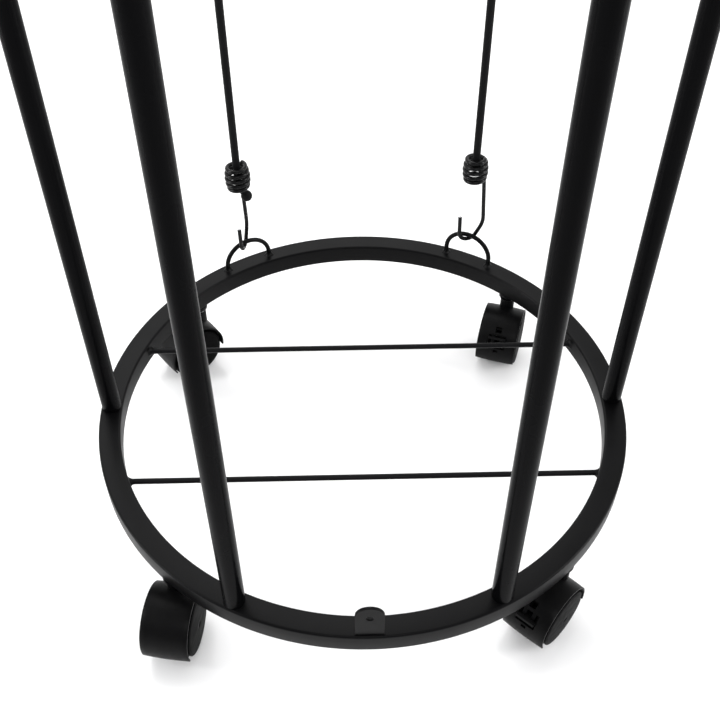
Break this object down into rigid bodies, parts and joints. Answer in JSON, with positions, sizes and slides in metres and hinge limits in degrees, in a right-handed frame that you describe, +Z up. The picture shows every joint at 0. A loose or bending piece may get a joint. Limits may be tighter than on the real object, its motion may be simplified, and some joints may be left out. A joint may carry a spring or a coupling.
{
  "type": "rolling ball storage rack",
  "caption": "Tall round wheeled rack for sports balls: base and top rings on four posts, swivel casters, open side closed by elastic cords with wire hooks.",
  "frame": {"origin": "on the floor, under the middle of the rings", "axes": "+Z up along the posts, +Y to the open side with the elastic cords, +X to the right-hand post"},
  "size_m": [0.33, 0.33, 0.9818],
  "materials": {
    "powder_coat": "satin black powder coat",
    "caster_body": "matte moulded nylon",
    "caster_wheel": "matte moulded nylon, a shade lighter than the hood",
    "brake_pedal": "matte moulded nylon",
    "zinc_steel": "bright zinc plate",
    "insert_steel": "plain zinc plate",
    "screw_steel": "black oxide",
    "elastic_braid": "braided cover",
    "knob_rubber": "matte",
    "hook_wire": "gloss black coated wire"
  },
  "bodies": {
    "frame": {"base_ring": "powder_coat", "top_ring": "powder_coat", "post_right": "powder_coat", "post_left": "powder_coat", "post_rear_right": "powder_coat", "post_rear_left": "powder_coat", "post_inserts": "insert_steel", "base_post_screws": "screw_steel", "top_post_screws": "screw_steel", "cross_wire_rear": "powder_coat", "cross_wire_front": "powder_coat", "anchor_tab_base": "powder_coat", "anchor_tab_top": "powder_coat", "lower_ear_left": "powder_coat", "lower_ear_right": "powder_coat", "upper_ear_left": "powder_coat", "upper_ear_right": "powder_coat", "weld_beads": "powder_coat", "caster_weld_nuts": "powder_coat", "caster_stems": "zinc_steel", "stem_snap_rings": "zinc_steel", "upper_hook_left": "hook_wire", "upper_hook_right": "hook_wire", "upper_cord_knobs": "knob_rubber", "elastic_cord_left": "elastic_braid", "elastic_cord_right": "elastic_braid"},
    "rear_left_caster": {"rear_left_caster_hood": "caster_body", "rear_left_caster_axle": "zinc_steel"},
    "rear_left_wheel_a": {"rear_left_wheel_a": "caster_wheel"},
    "rear_left_wheel_b": {"rear_left_wheel_b": "caster_wheel"},
    "rear_right_caster": {"rear_right_caster_hood": "caster_body", "rear_right_caster_axle": "zinc_steel", "rear_right_brake_pin": "zinc_steel"},
    "rear_right_wheel_a": {"rear_right_wheel_a": "caster_wheel"},
    "rear_right_wheel_b": {"rear_right_wheel_b": "caster_wheel"},
    "rear_right_brake": {"rear_right_brake_pedal": "brake_pedal"},
    "front_right_caster": {"front_right_caster_hood": "caster_body", "front_right_caster_axle": "zinc_steel", "front_right_brake_pin": "zinc_steel"},
    "front_right_wheel_a": {"front_right_wheel_a": "caster_wheel"},
    "front_right_wheel_b": {"front_right_wheel_b": "caster_wheel"},
    "front_right_brake": {"front_right_brake_pedal": "brake_pedal"},
    "front_left_caster": {"front_left_caster_hood": "caster_body", "front_left_caster_axle": "zinc_steel"},
    "front_left_wheel_a": {"front_left_wheel_a": "caster_wheel"},
    "front_left_wheel_b": {"front_left_wheel_b": "caster_wheel"},
    "lower_hook_left": {"lower_hook_left": "hook_wire", "cord_knob_left": "knob_rubber"},
    "lower_hook_right": {"lower_hook_right": "hook_wire", "cord_knob_right": "knob_rubber"}
  },
  "joints": [
    {"name": "rear_left_swivel", "type": "hinge", "parent": "frame", "child": "rear_left_caster", "pos_m": [-0.10973, -0.11403, 0.03], "axis": [0, 0, 1], "continuous": true},
    {"name": "rear_left_wheel_a_spin", "type": "hinge", "parent": "rear_left_caster", "child": "rear_left_wheel_a", "pos_m": [-0.1119, -0.12634, 0.02], "axis": [0.9848, -0.1736, 0], "continuous": true},
    {"name": "rear_left_wheel_b_spin", "type": "hinge", "parent": "rear_left_caster", "child": "rear_left_wheel_b", "pos_m": [-0.1119, -0.12634, 0.02], "axis": [0.9848, -0.1736, 0], "continuous": true},
    {"name": "rear_right_swivel", "type": "hinge", "parent": "frame", "child": "rear_right_caster", "pos_m": [0.1119, -0.1119, 0.03], "axis": [0, 0, 1], "continuous": true},
    {"name": "rear_right_wheel_a_spin", "type": "hinge", "parent": "rear_right_caster", "child": "rear_right_wheel_a", "pos_m": [0.10337, -0.12104, 0.02], "axis": [0.7314, -0.682, 0], "continuous": true},
    {"name": "rear_right_wheel_b_spin", "type": "hinge", "parent": "rear_right_caster", "child": "rear_right_wheel_b", "pos_m": [0.10337, -0.12104, 0.02], "axis": [0.7314, -0.682, 0], "continuous": true},
    {"name": "rear_right_brake_press", "type": "hinge", "parent": "rear_right_caster", "child": "rear_right_brake", "pos_m": [0.09648, -0.12844, 0.02735], "axis": [0.7314, -0.682, 0], "range_deg": [-22, 0]},
    {"name": "front_right_swivel", "type": "hinge", "parent": "frame", "child": "front_right_caster", "pos_m": [0.10833, 0.11536, 0.03], "axis": [0, 0, 1], "continuous": true},
    {"name": "front_right_wheel_a_spin", "type": "hinge", "parent": "front_right_caster", "child": "front_right_wheel_a", "pos_m": [0.10426, 0.10354, 0.02], "axis": [0.9455, -0.3256, 0], "continuous": true},
    {"name": "front_right_wheel_b_spin", "type": "hinge", "parent": "front_right_caster", "child": "front_right_wheel_b", "pos_m": [0.10426, 0.10354, 0.02], "axis": [0.9455, -0.3256, 0], "continuous": true},
    {"name": "front_right_brake_press", "type": "hinge", "parent": "front_right_caster", "child": "front_right_brake", "pos_m": [0.10097, 0.09398, 0.02735], "axis": [0.9455, -0.3256, 0], "range_deg": [0, 22]},
    {"name": "front_left_swivel", "type": "hinge", "parent": "frame", "child": "front_left_caster", "pos_m": [-0.11517, 0.10853, 0.03], "axis": [0, 0, 1], "continuous": true},
    {"name": "front_left_wheel_a_spin", "type": "hinge", "parent": "front_left_caster", "child": "front_left_wheel_a", "pos_m": [-0.12488, 0.10066, 0.02], "axis": [0.6293, -0.7771, 0], "continuous": true},
    {"name": "front_left_wheel_b_spin", "type": "hinge", "parent": "front_left_caster", "child": "front_left_wheel_b", "pos_m": [-0.12488, 0.10066, 0.02], "axis": [0.6293, -0.7771, 0], "continuous": true},
    {"name": "lower_hook_left_pull", "type": "slide", "parent": "frame", "child": "lower_hook_left", "axis": [0, 0, -1], "range_m": [0, 0.01], "stiffness_N_per_m": 150, "springref_m": -0.12, "deforming": ["elastic_cord_left"]},
    {"name": "lower_hook_right_pull", "type": "slide", "parent": "frame", "child": "lower_hook_right", "axis": [0, 0, -1], "range_m": [0, 0.01], "stiffness_N_per_m": 150, "springref_m": -0.12, "deforming": ["elastic_cord_right"]}
  ]
}
